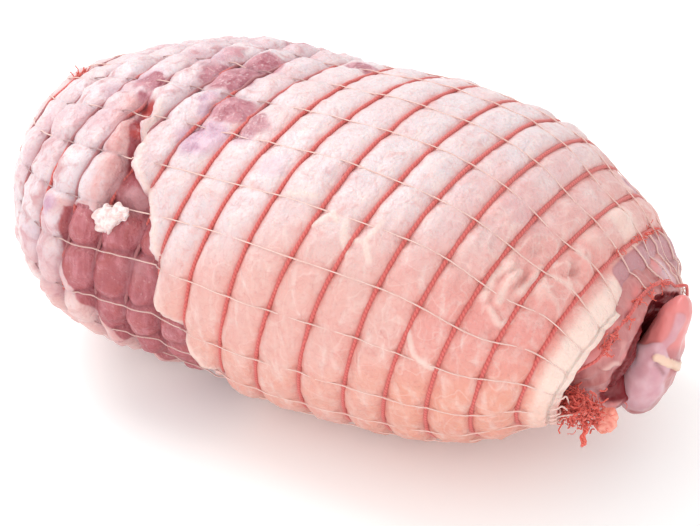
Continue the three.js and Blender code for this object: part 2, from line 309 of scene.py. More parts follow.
def crest(place, angle):
    """Points on the crest of the roll, at angles from +Y over the top."""
    x, half_width, half_height, lift, shift, lean = np.moveaxis(section_at(place), -1, 0)
    turned = angle + SIDE_CROWDING * np.sin(2 * angle)
    across = signed_power(np.cos(turned), 2 / SECTION_POWER)
    upward = signed_power(np.sin(turned), 2 / SECTION_POWER)
    height = np.maximum(0, lift + half_height * (1 + upward))
    return np.stack([x + lean * half_height * upward, shift + half_width * across, height], axis=-1)


def outward(place, angle):
    """Unit normals of the roll."""
    reach = 0.02
    along = crest(np.minimum(place + reach, LAST_SECTION), angle) - crest(np.maximum(place - reach, 0), angle)
    round_it = crest(place, angle + reach) - crest(place, angle - reach)
    normal = np.cross(round_it, along)
    return normal / np.maximum(np.linalg.norm(normal, axis=-1, keepdims=True), 1e-9)


hoop_numbers = np.arange(HOOP_COUNT)
hoop_drift = HOOP_DRIFT * np.sin(2 * np.pi * (hoop_numbers - MIDDLE_HOOP + 0.5) / DRIFT_PERIOD)
hoop_x = MIDDLE_HOOP_X + (hoop_numbers - MIDDLE_HOOP) * HOOP_PITCH + hoop_drift
hoop_x[-1] -= LAST_HOOP_BACK
HOOP_PLACES = place_at(np.concatenate([[GATHER_HOOP_X], hoop_x]))


def hoop_sway(number, angle):
    """How far a hoop sways along the roll as it goes round, in sections."""
    return HOOP_SWAY * np.sin(3 * angle + 1.9 * number)


def string_angle(number, place):
    sway = np.sin(1.7 * place + 2.4 * number) + 0.6 * np.sin(4.1 * place + 1.3 * number)
    return FIRST_STRING_ANGLE + STRING_STEP * number + STRING_SWAY * sway


def turn_from(middle, degrees):
    """The turn from a middle angle, -180 to 180 degrees."""
    return (degrees - middle + 180) % 360 - 180


def near_patch(x, degrees, patches):
    """Mask of soft round patches on the roll."""
    mask = np.zeros_like(x)
    for at_x, at_degrees, reach, strength in patches:
        distance = np.hypot(x - at_x, turn_from(at_degrees, degrees))  # a degree is about a millimetre there
        mask = np.maximum(mask, strength * (1 - smoothstep(0.35 * reach, 1.3 * reach, distance)))
    return mask


def near_line(across, along, points, width):
    """Mask of a soft line through points of a plane."""
    mask = np.zeros_like(across)
    for (a0, b0), (a1, b1) in zip(points, points[1:]):
        length = (a1 - a0) ** 2 + (b1 - b0) ** 2
        share = np.clip(((across - a0) * (a1 - a0) + (along - b0) * (b1 - b0)) / length, 0, 1)
        distance = np.hypot(across - a0 - share * (a1 - a0), along - b0 - share * (b1 - b0))
        mask = np.maximum(mask, np.exp(-(distance / width) ** 2))
    return mask


def near_lines(across, along, lines, width):
    return np.max([near_line(across, along, points, width) for points in lines], axis=0)


def zones(place, angle, wobble=0):
    """Masks of the roll's surface, 0 to 1, by name, and its x and degrees.

    Lean is bare muscle, sunken how far it lies below the cover, and gap the cleft at the cover's edge.
    Puff is where soft cells swell, quilt where strings part them, lip the cover's thick edge, and thinning
    where the cover thins out. The bare end is muscle at the last hoop, the wet zone is where muscle stains
    the strands, and under is the roll's lower side.
    """
    x = section_at(place)[..., 0]
    degrees = np.degrees(angle) % 360
    edge = np.interp(degrees, *COVER_EDGE.T) + wobble
    far_edge = np.interp(degrees, *LEAN_EDGE.T) - 0.6 * wobble
    sector = smoothstep(LEAN_FROM - 2, LEAN_FROM + 4, degrees)
    sector = sector * (1 - smoothstep(LEAN_TO - 8, LEAN_TO, degrees))
    finger = near_line(x + wobble, degrees + wobble, FAT_FINGER, 2.0)
    bare = sector * (1 - smoothstep(0.3, 0.6, finger))
    lean = bare * (1 - smoothstep(edge - 1.4, edge + 0.2, x)) * smoothstep(far_edge - 1, far_edge + 1, x)
    near_edge = 0.3 + 0.7 * smoothstep(edge - 26, edge - 6, x)
    sunken = bare * near_edge * (1 - smoothstep(edge - 2.2, edge, x))
    cover_from = np.where((degrees > LEAN_FROM) & (degrees < LEAN_TO), edge, -40)
    thinning = bare * smoothstep(far_edge - 10, far_edge - 1, x) * (1 - smoothstep(edge - 1, edge, x))
    thinning *= 1 - smoothstep(158, 168, degrees)
    soft_reach = np.interp(degrees, (0, 60, 132, 150, 250, 300, 360), (20, 30, 30, 7, 7, 20, 20))
    puff = (1 - smoothstep(-4, soft_reach, x - cover_from)) * smoothstep(-103, -92, x)
    turn = np.abs(turn_from(BARE_END_MIDDLE, degrees)) + 2 * wobble
    bare_end = 1 - smoothstep(BARE_END_HALF - 3, BARE_END_HALF + 1, turn)
    quilt = np.maximum(near_patch(x, degrees, QUILTED_PATCHES), lean)
    return {
        "x": x,
        "degrees": degrees,
        "lean": lean,
        "sunken": sunken * smoothstep(far_edge - 3, far_edge + 3, x),
        "puff": puff,
        "thinning": np.maximum(thinning, 0.9 * finger * sector),
        "quilt": np.maximum(quilt, 0.35 * puff),
        "lip": sector * np.exp(-((x - edge - 1.6) / 1.5) ** 2),
        "gap": bare * (1 - smoothstep(0, 6, edge - x)) * (x < edge + 0.2),
        "bare_end": bare_end * smoothstep(85.0, 86.0, x),
        "wet": lean * smoothstep(160, 170, degrees) * smoothstep(4, 9, edge - x),
        "under": smoothstep(160, 195, degrees) * (1 - smoothstep(345, 359, degrees)),
    }


def grooves(zone):
    """How deep the hoops and the strings press into the meat."""
    by_hoops = 1.7 + 1.0 * zone["puff"] + 1.4 * zone["lean"] + 1.0 * zone["under"] * (1 - zone["lean"])
    return by_hoops, 0.5 + 0.2 * zone["puff"] + 1.7 * zone["quilt"]


def closeness(place, angle):
    """How near a hoop and a string are: 1 at the strand, 0 halfway to the next. And each cell's number."""
    nearest_hoop = np.round(np.interp(place, HOOP_PLACES, np.arange(HOOP_COUNT + 1)))
    swayed = place - hoop_sway(nearest_hoop, angle)
    beyond = np.clip(swayed - HOOP_PLACES[-1], 0, None) / (HOOP_PLACES[-1] - HOOP_PLACES[-2])
    before = np.clip(HOOP_PLACES[0] - swayed, 0, None) / HOOP_PLACES[0]
    along = np.interp(swayed, HOOP_PLACES, np.arange(HOOP_COUNT + 1)) + beyond - 0.5 * before
    nearest = np.round((angle - FIRST_STRING_ANGLE) / STRING_STEP)
    aside = (angle - string_angle(nearest, place)) / STRING_STEP
    to_hoop = 1 - 2 * np.abs(along - np.round(along))
    to_string = np.clip(1 - 2 * np.abs(aside), 0, 1)
    round_it = nearest + np.where(aside > 0, 0, -1)
    return to_hoop, to_string, np.floor(along).astype(int), (round_it % STRING_COUNT).astype(int)


CELL_SWELL = np.random.default_rng(SEED).uniform(-1, 1, (HOOP_COUNT + 4, STRING_COUNT))  # each cell's own
TOP_SWELL = 1.6  # the soft cells on top stand this much prouder than the solid


def gentle_lumps(base, puff):
    """The slow rise and fall of the meat, which the strands follow."""
    swell = TOP_SWELL * puff * smoothstep(60, 88, base[:, 2])
    return swell + 0.5 * lumps(base, 17, 3) + (0.25 + 0.5 * puff) * lumps(base, 6, 4)


def roll_surface(place, angle):
    """Points of the meat's skin, and the masks that colour it."""
    base = crest(place, angle)
    zone = zones(place, angle, wobble=relief(base, (1.0, 7, 1), (0.5, 2.5, 2)))
    x, degrees, puff, quilt = zone["x"], zone["degrees"], zone["puff"], zone["quilt"]
    hoop_groove, string_groove = grooves(zone)
    to_hoop, to_string, cell_along, cell_round = closeness(place, angle)
    height = -hoop_groove * to_hoop ** (3.2 - 0.5 * puff) - string_groove * to_string ** (4 - 1.2 * quilt)
    dome = (1 - to_hoop ** 2) * (1 - to_string ** 2)
    height += (0.35 + 0.35 * puff + 0.4 * quilt) * CELL_SWELL[cell_along, cell_round] * dome
    height += gentle_lumps(base, puff) + (0.12 + 0.3 * puff) * lumps(base, 3, 5)
    height += 0.4 * zone["lip"] - LEAN_DEPTH * zone["sunken"]
    folds = near_patch(x, degrees, FOLD_PATCHES)
    ridges = 1 - 2.2 * np.abs(lumps(base * (1.2, 0.6, 0.45), 5, 16))
    height += 1.5 * folds * (ridges - 0.5) * dome
    crumple = 1 - 2.2 * np.abs(lumps(base, 9, 7))
    height += 0.4 * (1 - folds) * (crumple - 0.5) * dome
    crease = np.maximum(0.65 * folds * smoothstep(0.45, 0.95, ridges), 0.4 * smoothstep(0.6, 0.95, crumple))
    crease = np.maximum(crease, near_lines(x, degrees, CREASES, CREASE_WIDTH))
    height += CREASE_RISE * crease
    fold = near_lines(x, degrees, LOOSE_FOLDS, FOLD_WIDTH)
    fold_hollow = near_lines(x, degrees, FOLD_HOLLOWS, HOLLOW_WIDTH)
    height += (FOLD_RISE * fold - HOLLOW_DEPTH * fold_hollow) * dome
    points = base + outward(place, angle) * height[:, None]
    points[:, 2] = np.maximum(points[:, 2], 0)

    warp = 2.5 * lumps(base, 8, 8)
    high = points[:, 2]
    hoop_near = np.maximum(to_hoop, 0)
    right_end = smoothstep(35, 75, x) * (1 - 0.6 * smoothstep(112, 90, degrees) * (degrees > 20))
    rim_fat = smoothstep(84.8, 88, x) * (1 - zone["bare_end"]) * (1 - 0.45 * smoothstep(160, 195, degrees))
    white_fat = near_patch(x + warp, degrees, WHITE_PATCHES)
    mauve = near_patch(x, degrees + warp, MAUVE_PATCHES)
    masks = {
        "lean": np.maximum(zone["lean"], zone["bare_end"]),
        "rosy": near_patch(x + warp, degrees + 2 * lumps(base, 4, 9), ROSY_PATCHES),
        "lilac": near_patch(x + warp, degrees - warp, LILAC_PATCHES),
        "strand": hoop_near ** 9,
        # cell_edge_shade: painted shade on the cell edges where strings cut in deep
        "cell_edge_shade": quilt * np.maximum(hoop_near ** 4, to_string ** 6),
        # hollow: painted shade in the hollows by the hoops and strings
        "hollow": np.clip(hoop_near ** 4 + (0.25 + 0.6 * quilt) * to_string ** 5, 0, 1),
        # thinning: salmon where the cover thins out, and painted shade in the hollows beside the loose folds
        "thinning": np.maximum(zone["thinning"], fold_hollow),
        "puff": puff,
        # flush_and_low_shade: salmon where muscle shows through the fat at the right end, and painted shade
        # low on the roll
        "flush_and_low_shade": np.clip(0.65 * right_end * (1 - 0.45 * folds) + 0.4 * smoothstep(60, 25, high), 0, 1),
        # crease: paler along raised creases and fold ridges: pale membrane, with a painted highlight along
        # them
        "crease": np.maximum(crease, 0.8 * fold),
        "cream": np.maximum(np.maximum(rim_fat, white_fat), 0.6 * zone["lip"] * (1 - zone["lean"])),
        # gap: painted shade in the cleft at the cover's edge, less over the mauve patches
        "gap": zone["gap"] * (1 - 0.8 * mauve),
        "mauve": np.maximum(mauve, zone["bare_end"]),
        "red": near_patch(x + 0.4 * warp, degrees, RED_PATCHES),
        # painted_top_light: painted light, the fat paler and cooler high on the roll
        "painted_top_light": smoothstep(50, 92, high - 0.6 * np.minimum(x, 10)),
        "round": degrees,
    }
    return points, masks


# Materials

def raw_fat_over_lean():
    """Raw goat fat and membrane over red muscle: moist, waxy and a little see-through.

    Fat scatters light, so it looks soft and glows pink from the muscle below. The lean is dusty red with a
    grain of fibres. Both have a thin film of moisture that gives small soft highlights.
    """
    material, tree, shader, coords, mask = new_material(
        "raw goat fat over lean", "lean", "rosy", "lilac", "strand", "hollow", "cell_edge_shade", "puff", "flush_and_low_shade",
        "thinning", "crease", "cream", "gap", "mauve", "painted_top_light", "red", "round")
    split = add(tree, "ShaderNodeSeparateXYZ", {"Vector": coords})
    # Membrane is drawn out round the roll: streaks about 2 mm wide and three times as long.
    round_metres = add(tree, "ShaderNodeMath", {0: mask["round"], 1: MM / 3}, operation="MULTIPLY").outputs[0]
    along_skin = add(tree, "ShaderNodeCombineXYZ", {"X": split.outputs["X"], "Y": round_metres}).outputs[0]
    # The lean's fibres are about 1.5 mm wide and four times as long.
    along_fibres = add(tree, "ShaderNodeMapping", {"Vector": coords, "Rotation": (0, 0.5, 0.3),
                                                   "Scale": (1, 1, 0.25)}).outputs[0]
    clouds, mottle, speckle, streaks, fibres = (
        add(tree, "ShaderNodeTexNoise", {"Vector": vector, "Scale": per_mm(size), "Detail": detail,
                                         "Distortion": distortion}).outputs["Fac"]
        for vector, size, detail, distortion in (
            (coords, 16, 3, 0), (coords, 5.5, 6, 0.8), (coords, 1.2, 3, 0), (along_skin, 2.6, 4, 0.5),
            (along_fibres, 1.5, 4, 0.4)))

    # Fat is nearly white where it is thick and salmon where the muscle shows through. Painted light makes it
    # paler and cooler high on the roll, and painted shade makes it salmon low down.
    uneven = add(tree, "ShaderNodeMath", {0: clouds, 1: 0.8, 2: mask["flush_and_low_shade"]},
                 operation="MULTIPLY_ADD").outputs[0]
    salmon_tone = lay_over(tree, "#dd9a87", "#dd918a", split.outputs["Z"], (0.035, 0.06))
    fat = lay_all(
        tree, "#dcaca4",
        ("#ddced1", mask["painted_top_light"]),
        ("#ddcdd2", mask["puff"]),
        (salmon_tone, uneven, (0.25, 1.25)),
        ("#e8d6d0", streaks, (0.2, 0.55), (0.5, 0)),
        ("#d48a84", mottle, (0.48, 0.85), (0, 0.5)),
        ("#c98480", speckle, (0.5, 0.8), (0, 0.3)))
    # Creases and small veins of the membrane run along lines where a slow noise is halfway.
    for size, hex_colour, share in ((13, "#efdcd5", 0.2), (8, "#cd7a78", 0.2)):
        slow = add(tree, "ShaderNodeTexNoise", {"Vector": coords, "Scale": per_mm(size), "Detail": 2,
                                                "Distortion": 0.3}).outputs["Fac"]
        line = add(tree, "ShaderNodeMath", {0: slow, 1: 0.5}, operation="PINGPONG").outputs[0]
        fat = lay_over(tree, fat, hex_colour, line, (0.485, 0.5), (0, share))
    stain, fleck = (add(tree, "ShaderNodeMath", {0: noise, 1: mask["puff"]}, operation="MULTIPLY").outputs[0]
                    for noise in (clouds, mottle))
    # Painted shade in the hollows by the hoops and strings: salmon on firm fat, grey-mauve on the soft cells.
    in_hollows = lay_over(tree, "#d98a80", "#b5939b", mask["puff"])
    by_strands = lay_over(tree, "#d4665e", "#a8666b", mask["puff"])
    lilac = lay_over(tree, "#bb8da6", "#d6b5c4", mottle, (0.3, 0.7))
    rosy = lay_all(tree, "#a04c5c", ("#c68994", mottle, (0.35, 0.65)),
                   ("#e4c4c6", speckle, (0.54, 0.72), (0, 0.6)))
    fat = lay_all(
        tree, fat,
        ("#c79aa5", stain, (0.42, 0.66), (0, 0.45)),
        ("#bb7d83", fleck, (0.5, 0.72), (0, 0.65)),
        ("#d7918a", mask["thinning"], (0, 1), (0, 0.6)),
        (in_hollows, mask["hollow"], (0, 1), (0, 0.6)),
        (by_strands, mask["strand"], (0, 1), (0, 0.75)),
        ("#e9d5cc", mask["crease"], (0.2, 0.9), (0, 0.6)),
        ("#f1dacf", mask["cream"], (0, 1), (0, 0.85)),
        (lilac, mask["lilac"], (0.1, 1), (0, 0.9)),
        (rosy, mask["rosy"], (0.2, 0.7), (0, 0.95)),
        # painted shade along the edges of the quilted cells
        ("#85505a", mask["cell_edge_shade"], (0.25, 0.9), (0, 0.7)))

    # Lean has darker bundles, pale flecks of fat, and shade in its hollows and in the cleft.
    red = lay_all(
        tree, "#a9585f",
        ("#c17880", fibres, (0.3, 0.7)),
        ("#a8514f", mottle, (0.42, 0.7), (0, 0.7)),
        ("#a3535b", clouds, (0.45, 0.65), (0, 0.6)),
        ("#dcaaab", speckle, (0.58, 0.8), (0, 0.5)),
        ("#c39196", mask["mauve"], (0, 1), (0, 0.75)),
        ("#8f4a53", mask["hollow"], (0.2, 1), (0, 0.6)),
        ("#8a2a31", mask["gap"], (0, 1), (0, 0.8)))
    colour = lay_all(
        tree, fat,
        (red, mask["lean"], (0.3, 0.7)),
        ("#b8443f", mask["red"], (0.2, 0.9), (0, 0.85)))

    film = add(tree, "ShaderNodeMapRange", {"Value": mottle, "From Min": 0.3, "From Max": 0.7,
                                            "To Min": 0.32, "To Max": 0.5}).outputs[0]
    wrinkles = speckle
    for larger in (mottle, streaks):
        wrinkles = add(tree, "ShaderNodeMath", {0: wrinkles, 1: larger}, operation="ADD").outputs[0]
    bump = add(tree, "ShaderNodeBump", {"Height": wrinkles, "Strength": 0.7, "Distance": 0.8 * MM}).outputs[0]
    connect(tree, shader, {
        "Base Color": colour, "Roughness": film, "Normal": bump, "IOR": 1.44, "Subsurface Weight": 0.25,
        "Subsurface Radius": (1.0, 0.4, 0.3), "Subsurface Scale": 2 * MM, "Coat Weight": 0.12,
        "Coat Roughness": 0.2})
    return material


def cut_lean(name, deep_hex, light_hex, skin_hex, fat_hex, gloss):
    """Cut raw muscle: wet, mauve-red, with fine fibres, silvery membrane and fat where the masks say so, and
    painted shade in its crevices.
    """
    material, tree, shader, coords, mask = new_material(name, "deep_shade", "skin", "pale", "salmon")
    along_fibres = add(tree, "ShaderNodeMapping", {"Vector": coords, "Rotation": (0.6, 0, 0),
                                                   "Scale": (1, 1, 0.2)}).outputs[0]
    fibres, mottle = (
        add(tree, "ShaderNodeTexNoise", {"Vector": vector, "Scale": per_mm(size), "Detail": detail,
                                         "Distortion": distortion}).outputs["Fac"]
        for vector, size, detail, distortion in ((along_fibres, 1.8, 4, 0.5), (coords, 6, 5, 0)))
    skin = lay_over(tree, skin_hex, "#ddb9c2", mottle, (0.3, 0.7))
    flesh = lay_all(
        tree, deep_hex,
        (light_hex, fibres, (0.2, 0.8)),
        (light_hex, mottle, (0.45, 0.7), (0, 0.5)),
        ("#e28a88", mask["salmon"], (0, 1), (0, 0.85)),
        (skin, mask["skin"], (0.2, 0.8), (0, 0.9)),
        (fat_hex, mask["pale"], (0.2, 0.8), (0, 0.85)),
        ("#82282d", mask["deep_shade"]))
    bump = add(tree, "ShaderNodeBump", {"Height": fibres, "Strength": 0.3, "Distance": 0.3 * MM}).outputs[0]
    connect(tree, shader, {
        "Base Color": flesh, "Roughness": gloss, "Normal": bump, "IOR": 1.4, "Subsurface Weight": 0.25,
        "Subsurface Radius": (1.0, 0.35, 0.25), "Subsurface Scale": 2 * MM, "Coat Weight": 0.2,
        "Coat Roughness": 0.2})
    return material


def torn_fat(name, shade_hex, light_hex):
    """Torn raw fat: matt and crumbly."""
    material, tree, shader, coords, _ = new_material(name)
    crumbs = add(tree, "ShaderNodeTexNoise", {"Vector": coords, "Scale": per_mm(1.6),
                                              "Detail": 4}).outputs["Fac"]
    colour = lay_over(tree, shade_hex, light_hex, crumbs, (0.35, 0.65))
    bump = add(tree, "ShaderNodeBump", {"Height": crumbs, "Strength": 0.5, "Distance": 0.5 * MM}).outputs[0]
    connect(tree, shader, {
        "Base Color": colour, "Roughness": 0.5, "Normal": bump, "IOR": 1.45, "Subsurface Weight": 0.35,
        "Subsurface Radius": (1.0, 0.6, 0.45), "Subsurface Scale": 2 * MM})
    return material


def wrapped_yarn(name, shade_hex, light_hex):
    """Twisted yarn: dull and fuzzy, with a painted highlight on the crown of each ply and painted shade
    between the plies.
    """
    material, tree, shader, coords, mask = new_material(name, "ply", "dull")
    fuzz = add(tree, "ShaderNodeTexNoise", {"Vector": coords, "Scale": per_mm(0.9),
                                            "Detail": 3}).outputs["Fac"]
    colour = lay_all(
        tree, shade_hex,
        (light_hex, mask["ply"], (0.1, 0.9)),
        (shade_hex, fuzz, (0.55, 0.75), (0, 0.5)),
        ("#966c72", mask["dull"], (0, 1), (0, 0.75)))
    bump = add(tree, "ShaderNodeBump", {"Height": fuzz, "Strength": 0.5, "Distance": 0.2 * MM}).outputs[0]
    connect(tree, shader, {
        "Base Color": colour, "Roughness": 0.8, "Normal": bump, "IOR": 1.5, "Sheen Weight": 0.25})
    return material


FAT_AND_LEAN = raw_fat_over_lean()
CUT_MUSCLE = cut_lean("cut raw muscle", "#b2686a", "#c98b88", "#c49a9d", "#e6c0b6", 0.36)
LOBE_MUSCLE = cut_lean("muscle in silverskin", "#b56a6e", "#c47f80", "#cf9ba6", "#eacbb2", 0.28)
TORN_FAT = torn_fat("torn raw fat", "#dfc0be", "#f0e4e2")
PINK_FAT = torn_fat("stained raw fat", "#df8576", "#efa898")
RED_ELASTIC = wrapped_yarn("red yarn over latex", "#c0524f", "#d86e67")
FRAYED_YARN = wrapped_yarn("frayed red yarn", "#cf4137", "#ef7c6c")
WHITE_THREAD = wrapped_yarn("white cotton thread", "#dcb3a9", "#ecd0c8")


# Meshes of grids and strands

def grid_faces(rows, columns, wrap_rows=False):
    """Quads of a grid of points that wraps round its columns, and round its rows if told."""
    row = np.arange(rows if wrap_rows else rows - 1)[:, None]
    column = np.arange(columns)[None, :]
    here, after = row * columns, (row + 1) % rows * columns
    following = (column + 1) % columns
    corners = [here + column, here + following, after + following, after + column]
    return np.stack(corners, axis=-1).reshape(-1, 4).tolist()


def distance_along(path):
    return np.concatenate([[0], np.cumsum(np.linalg.norm(np.diff(path, axis=0), axis=1))])


def strand(path, away, radius, sides, lay, closed=False, plies=2, twist=0.14):
    """A twisted strand along a path, with a turn every `lay`. `away` gives a direction off the path."""
    following = np.roll(path, -1, axis=0) - np.roll(path, 1, axis=0)
    if not closed:
        following[0] = path[1] - path[0]
        following[-1] = path[-1] - path[-2]
    tangent = unit(following)
    side = unit(np.cross(tangent, away))
    up = np.cross(side, tangent)
    travelled = distance_along(path)
    turns = travelled / lay
    if closed:
        whole = travelled[-1] + np.linalg.norm(path[0] - path[-1])
        turns = travelled / whole * round(whole / lay)
    around = np.arange(sides) / sides * 2 * np.pi
    wave = np.cos(plies * (around[None, :] - 2 * np.pi * turns[:, None]))
    reach = radius * (1 + twist * wave)
    ring = np.cos(around)[None, :, None] * side[:, None] + np.sin(around)[None, :, None] * up[:, None]
    points = (path[:, None] + reach[..., None] * ring).reshape(-1, 3)
    faces = grid_faces(len(path), sides, wrap_rows=closed)
    if not closed:
        faces.append(list(range(sides))[::-1])
        faces.append([(len(path) - 1) * sides + i for i in range(sides)])
    return points, faces, {"ply": (0.5 + 0.5 * wave).reshape(-1)}


CURVE_STEPS = 24  # between two given points


def smooth_path(points, spacing, closed=False):
    """Points `spacing` apart on a smooth curve through given ones."""
    points = np.asarray(points, float)
    if closed:
        padded = np.vstack([points[-1], points, points[:2]])
    else:
        padded = np.vstack([2 * points[0] - points[1], points, 2 * points[-1] - points[-2]])
    share = np.linspace(0, 1, CURVE_STEPS, endpoint=False)[:, None]
    runs = [spline(*four, share) for four in zip(padded, padded[1:], padded[2:], padded[3:])]
    fine = np.vstack(runs + [points[:1] if closed else points[-1:]])
    travelled = distance_along(fine)
    count = max(4, int(round(travelled[-1] / spacing)))
    at = np.linspace(0, travelled[-1], count + 1)
    even = np.stack([np.interp(at, travelled, fine[:, axis]) for axis in range(3)], axis=1)
    return even[:-1] if closed else even


def join(parts):
    """One set of points, faces and masks from several."""
    points, faces, masks = [], [], {}
    start = 0
    for part_points, part_faces, part_masks in parts:
        points.append(part_points)
        faces.extend([[start + i for i in face] for face in part_faces])
        for name, values in part_masks.items():
            masks.setdefault(name, []).append(values)
        start += len(part_points)
    return np.vstack(points), faces, {name: np.concatenate(values) for name, values in masks.items()}


# Meat

ROLL_ROWS = 282
ROLL_COLUMNS = 320
RIM_ROWS = 18
RIM_SHRINK = 0.5
RIM_FORWARD = 3.2
RIM_SINK = 8
RIM_MIDDLE = np.array((SECTIONS[-1][0], SECTIONS[-1][4], SECTIONS[-1][3] + SECTIONS[-1][2]))


def even_places(count):
    """Places along the roll that are about equally far apart over its surface."""
    lengths = np.zeros(len(FINE_PLACES) - 1)
    for quarter in range(4):
        line = crest(FINE_PLACES, np.full(len(FINE_PLACES), quarter * np.pi / 2))
        lengths += np.linalg.norm(np.diff(line, axis=0), axis=1)
    travelled = np.concatenate([[0], np.cumsum(lengths)])
    return np.interp(np.linspace(0, travelled[-1], count + 1)[1:], travelled, FINE_PLACES)


def rolled_in(ring, share):
    """Points of the last section moved along the rim that rolls in over the cut end."""
    uneven = 1 + 0.06 * lumps(ring, 14, 21) * share
    inner = RIM_MIDDLE + (ring - RIM_MIDDLE) * ((1 - RIM_SHRINK * share) * uneven)[:, None]
    inner[:, 0] += RIM_FORWARD * smoothstep(0, 0.14, share) - RIM_SINK * share + 0.5 * lumps(inner, 6, 22)
    return inner


def make_roll():
    places = even_places(ROLL_ROWS)
    angles = np.arange(ROLL_COLUMNS) / ROLL_COLUMNS * 2 * np.pi
    place, angle = (grid.ravel() for grid in np.meshgrid(places, angles, indexing="ij"))
    points, masks = roll_surface(place, angle)
    last_ring = points[-ROLL_COLUMNS:]
    end_masks = {name: values[-ROLL_COLUMNS:] for name, values in masks.items()}
    rim_rows, rim_masks = [], {name: [] for name in masks}
    for row in range(1, RIM_ROWS + 1):
        share = row / RIM_ROWS
        ring = rolled_in(last_ring, share)
        rim_rows.append(ring)
        torn_in = share + 0.1 * lumps(ring, 5, 23)
        rim_colours = {
            "cream": end_masks["cream"] * (1 - smoothstep(0.12, 0.2, torn_in)),
            "lean": np.maximum(end_masks["lean"], smoothstep(0.3, 0.4, torn_in)),
            "mauve": end_masks["mauve"],
            "thinning": smoothstep(0.12, 0.2, torn_in),
            "strand": 0.8 * np.exp(-((torn_in - 0.2) / 0.035) ** 2),
        }
        for name in masks:
            rim_masks[name].append(rim_colours.get(name, np.zeros(ROLL_COLUMNS)))
    first = crest(np.array([0.0]), np.array([0.0]))
    core = RIM_MIDDLE - (RIM_SINK, 0, 0)
    points = np.vstack([points, *rim_rows, first, core[None]])
    rows = ROLL_ROWS + RIM_ROWS
    faces = grid_faces(rows, ROLL_COLUMNS)
    start, end = rows * ROLL_COLUMNS, rows * ROLL_COLUMNS + 1
    for column in range(ROLL_COLUMNS):
        following = (column + 1) % ROLL_COLUMNS
        faces.append([start, following, column])
        faces.append([end, (rows - 1) * ROLL_COLUMNS + column, (rows - 1) * ROLL_COLUMNS + following])
    masks = {name: np.concatenate([values, *rim_masks[name], [0, 0]]) for name, values in masks.items()}
    make_piece("roast_roll", points, faces, FAT_AND_LEAN, "meat", masks)


def tilted(points, tilt):
    """Points turned about the Y axis, so that their tops lean to +X."""
    x, y, z = points.T
    cos, sin = math.cos(tilt), math.sin(tilt)
    return np.stack([x * cos + z * sin, y, z * cos - x * sin], axis=1)


def ball(centre, half, rows, columns):
    """Points, faces, normals and directions of a closed egg shape."""
    polar = np.linspace(0, np.pi, rows + 2)[1:-1]
    azimuth = np.arange(columns) / columns * 2 * np.pi
    down, round_it = np.meshgrid(polar, azimuth, indexing="ij")
    ring = np.sin(down)
    toward = np.stack([ring * np.cos(round_it), ring * np.sin(round_it), np.cos(down)], axis=-1)
    toward = np.vstack([toward.reshape(-1, 3), (0, 0, 1), (0, 0, -1)])
    faces = [face[::-1] for face in grid_faces(rows, columns)]
    top, bottom = rows * columns, rows * columns + 1
    for column in range(columns):
        following = (column + 1) % columns
        faces.append([top, column, following])
        faces.append([bottom, (rows - 1) * columns + following, (rows - 1) * columns + column])
    return centre + toward * half, faces, unit(toward / half), toward


def widening(wide):
    """Factors that draw points apart in x and y, each by its own share."""
    return np.stack([wide, wide, np.ones_like(wide)], axis=1)


def in_socket(points):
    """Where points are in the lobe's socket: under 1 is inside."""
    local = tilted(points - LOBE_CENTRE - SOCKET_OFFSET, -LOBE_TILT)
    wide = np.clip(1 - SOCKET_FOOT * local[:, 2] / LOBE_HALF[2], 0.7, 1.6)
    return np.linalg.norm(local / LOBE_HALF / widening(wide), axis=1)


def end_view(points):
    """Points as the cut end is seen from the front: millimetres to the right and up of its middle."""
    offset = points - CUT_END_MIDDLE
    return offset @ CAMERA_RIGHT, offset @ CAMERA_UP


def muscle_lumps(points, seed):
    return relief(points, (1.2, 10, seed), (0.6, 4, seed + 1))


def make_muscle(name, centre, half, seed, crevice_width, has_socket):
    points, faces, normal, _ = ball(centre, half, 150, 190)
    points = points + normal * muscle_lumps(points, seed)[:, None]
    shoulder = 1 - smoothstep(1.0, 1.45, in_socket(points))
    pushed = np.zeros(len(points))
    if has_socket:
        points[:, 0] -= SHOULDER_BACK * shoulder
        before = points[:, 0].copy()
        for _ in range(SOCKET_STEPS):
            points[in_socket(points) < 1, 0] -= SOCKET_STEP
        pushed = before - points[:, 0]
    right, up = end_view(points)
    torn = near_line(right, up + 0.8 * lumps(points, 3, seed + 3), TORN_EDGE, 0.9)
    marbling = smoothstep(0.86, 0.98, 1 - np.abs(lumps(points, 6, seed + 5)))
    points += normal * (0.7 * torn + 0.3 * marbling)[:, None]
    stray = 0.4 * lumps(points, 4, seed + 6)
    crevice = np.max([near_line(right - toward_lobe + stray, up, CREVICE, crevice_width)
                      for toward_lobe in CREVICE_STEPS], axis=0)
    crevice *= normal @ CAMERA_BACK > 0
    points -= CREVICE_DEPTH * crevice[:, None] * CAMERA_BACK
    # Painted shade: dark crimson where the muscle is pressed back round the lobe, on its sloping shoulder and
    # in the crevice.
    in_shade = np.maximum(smoothstep(0.5, 4.0, pushed), smoothstep(0.25, 0.8, shoulder))
    masks = {"deep_shade": np.maximum(in_shade, smoothstep(0.2, 0.75, crevice)),
             "pale": np.maximum(0.6 * torn, 0.3 * marbling),
             "salmon": smoothstep(0.0, 0.6, lumps(points, 8, seed + 4)),
             "skin": smoothstep(0.1, 0.7, lumps(points, 12, seed + 2))}
    make_piece(name, points, faces, CUT_MUSCLE, "meat", masks)


